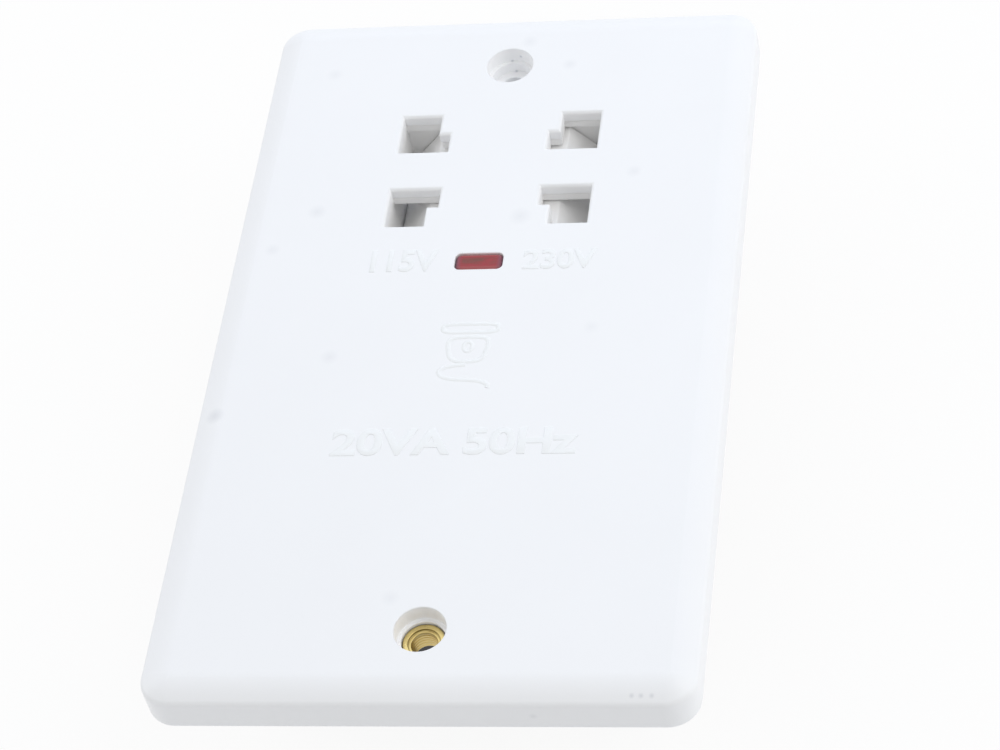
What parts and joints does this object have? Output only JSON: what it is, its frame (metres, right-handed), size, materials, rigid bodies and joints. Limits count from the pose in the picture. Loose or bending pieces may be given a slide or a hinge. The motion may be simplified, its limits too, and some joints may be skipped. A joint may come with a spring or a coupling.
{
  "type": "shaver socket",
  "caption": "Dual-voltage shaver socket: white moulded wall plate with shuttered pin apertures and a red neon window, and an isolating transformer in a vented rear cover.",
  "frame": {"origin": "midway between the two fixing holes, on the wall plane that the plate's rim meets", "axes": "+Z out of the face, +Y towards the plate's outlet end, +X to the right seen from the front"},
  "size_m": [0.086, 0.146, 0.0405],
  "materials": {
    "plate_white": "moulded gloss white",
    "guide_white": "moulded white",
    "shutter_white": "moulded white",
    "lens_red": "clear red",
    "lamp_glass": "clear glass",
    "resistor_body": "lacquered",
    "spring_bronze": "phosphor bronze strip",
    "contact_brass": "bright brass strip",
    "core_steel": "varnished laminations",
    "bobbin_nylon": "natural nylon",
    "winding_copper": "enamelled copper",
    "winding_tape": "polyester tape",
    "cutout_case": "moulded black",
    "cover_grey": "moulded dark grey",
    "block_white": "moulded white",
    "screw_zinc": "zinc plated",
    "terminal_brass": "machined brass",
    "bush_brass": "turned brass"
  },
  "bodies": {
    "housing": {"front_plate": "plate_white", "neon_lens": "lens_red", "neon_lamp": "lamp_glass", "neon_resistor": "resistor_body", "shutter_guide": "guide_white", "contact_carrier": "guide_white", "shutter_spring_115v": "spring_bronze", "shutter_spring_230v": "spring_bronze", "contact_115v": "contact_brass", "contact_230v": "contact_brass", "common_contact": "contact_brass", "core_e_stack": "core_steel", "core_i_stack": "core_steel", "bobbin": "bobbin_nylon", "primary_winding": "winding_copper", "secondary_winding": "winding_copper", "primary_tape": "winding_tape", "secondary_tape": "winding_tape", "thermal_cutout": "cutout_case", "rear_cover": "cover_grey", "cover_screws": "screw_zinc", "terminal_block": "block_white", "live_terminal": "terminal_brass", "neutral_terminal": "terminal_brass", "clamp_screws": "screw_zinc", "block_screws": "screw_zinc", "earth_bush": "bush_brass", "earth_strap": "contact_brass", "earth_terminal": "terminal_brass"},
    "shutter_115v": {"shutter_115v": "shutter_white"},
    "shutter_230v": {"shutter_230v": "shutter_white"}
  },
  "joints": [
    {"name": "shutter_115v_slide", "type": "slide", "parent": "housing", "child": "shutter_115v", "axis": [1, 0, 0], "range_m": [0, 0.0072], "stiffness_N_per_m": 120, "springref_m": -0.005, "deforming": ["shutter_spring_115v"]},
    {"name": "shutter_230v_slide", "type": "slide", "parent": "housing", "child": "shutter_230v", "axis": [-1, 0, 0], "range_m": [0, 0.0072], "stiffness_N_per_m": 120, "springref_m": -0.005, "deforming": ["shutter_spring_230v"]}
  ]
}
